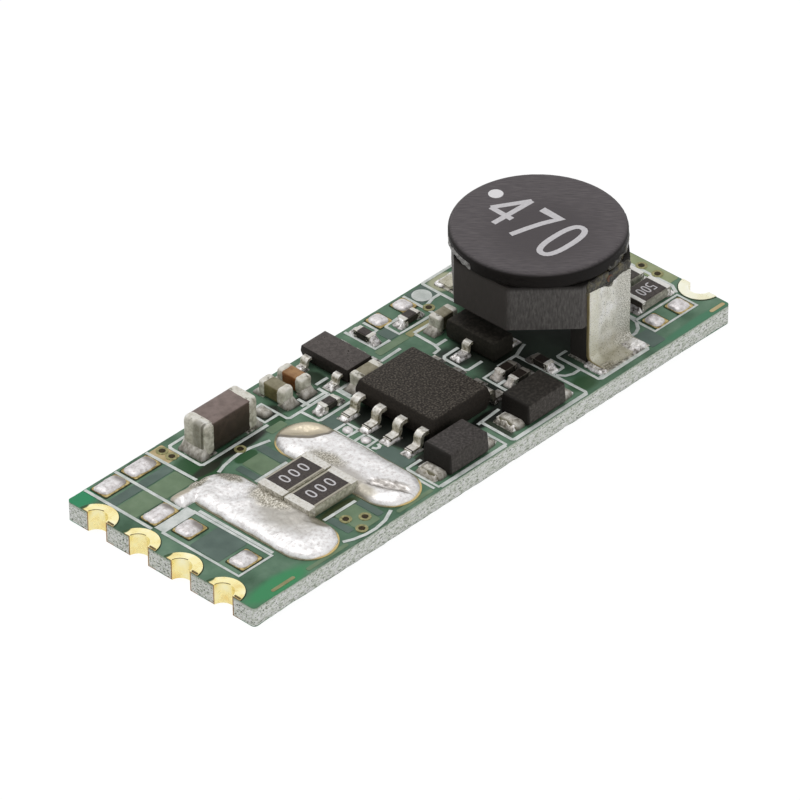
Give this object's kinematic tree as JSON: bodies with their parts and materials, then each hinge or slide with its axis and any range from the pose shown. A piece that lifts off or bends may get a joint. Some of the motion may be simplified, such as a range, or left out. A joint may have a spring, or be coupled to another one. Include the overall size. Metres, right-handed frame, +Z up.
{
  "type": "led driver module",
  "caption": "Bare circuit board with castellated ends, a solder-bridged link area, small surface-mount parts and a round power inductor; drives LEDs at constant current.",
  "frame": {"origin": "centre of the circuit board's underside", "axes": "+X along the board to the output end with the inductor, +Y to the back long edge, +Z up out of the populated face"},
  "size_m": [0.0306, 0.0114, 0.0061],
  "materials": {
    "laminate": "green solder mask on glass epoxy",
    "gold_plate": "gold-plated copper",
    "tinned_copper": "tinned copper",
    "solder": "bright, pitted",
    "alumina": "fired alumina",
    "black_glaze": "glassy",
    "chip_plate": "dull tin plate",
    "mauve_ceramic": "fired ceramic",
    "olive_ceramic": "fired ceramic",
    "brown_ceramic": "fired ceramic",
    "beige_ceramic": "fired ceramic",
    "black_mould": "sand-textured mould",
    "grey_mould": "sand-textured mould",
    "lead_tin": "matt tin plate",
    "ferrite": "ground ferrite",
    "ferrite_sleeve": "pressed ferrite",
    "enamelled_copper": "enamelled wire",
    "strap_tin": "dull tin, scratched"
  },
  "bodies": {
    "root": {"circuit_board": "laminate", "via_barrels": "gold_plate", "input_castellations": "gold_plate", "output_castellations": "gold_plate", "pool_lands": "gold_plate", "component_lands": "tinned_copper", "spare_lands": "solder", "input_solder_pool": "solder", "output_solder_pool": "solder", "solder_fillets": "solder", "back_link_body": "alumina", "back_link_glaze": "black_glaze", "back_link_ends": "chip_plate", "front_link_body": "alumina", "front_link_glaze": "black_glaze", "front_link_ends": "chip_plate", "sense_resistor_body": "alumina", "sense_resistor_glaze": "black_glaze", "sense_resistor_ends": "chip_plate", "rear_sense_resistor_body": "alumina", "rear_sense_resistor_glaze": "black_glaze", "rear_sense_resistor_ends": "chip_plate", "chip_resistor_bodies": "alumina", "chip_resistor_glazes": "black_glaze", "chip_resistor_ends": "chip_plate", "input_capacitor_body": "mauve_ceramic", "input_capacitor_ends": "chip_plate", "filter_capacitor_body": "olive_ceramic", "filter_capacitor_ends": "chip_plate", "bypass_capacitor_body": "brown_ceramic", "bypass_capacitor_ends": "chip_plate", "supply_capacitor_body": "beige_ceramic", "supply_capacitor_ends": "chip_plate", "gate_capacitor_body": "beige_ceramic", "gate_capacitor_ends": "chip_plate", "controller_body": "black_mould", "controller_leads": "lead_tin", "regulator_body": "grey_mould", "regulator_leads": "lead_tin", "switch_body": "grey_mould", "switch_leads": "lead_tin", "freewheel_diode_body": "grey_mould", "freewheel_diode_tabs": "lead_tin", "clamp_diode_body": "grey_mould", "clamp_diode_tabs": "lead_tin", "inductor_core": "ferrite", "inductor_winding": "enamelled_copper", "inductor_sleeve": "ferrite_sleeve", "inductor_front_terminal": "strap_tin", "inductor_back_terminal": "strap_tin"}
  },
  "joints": []
}
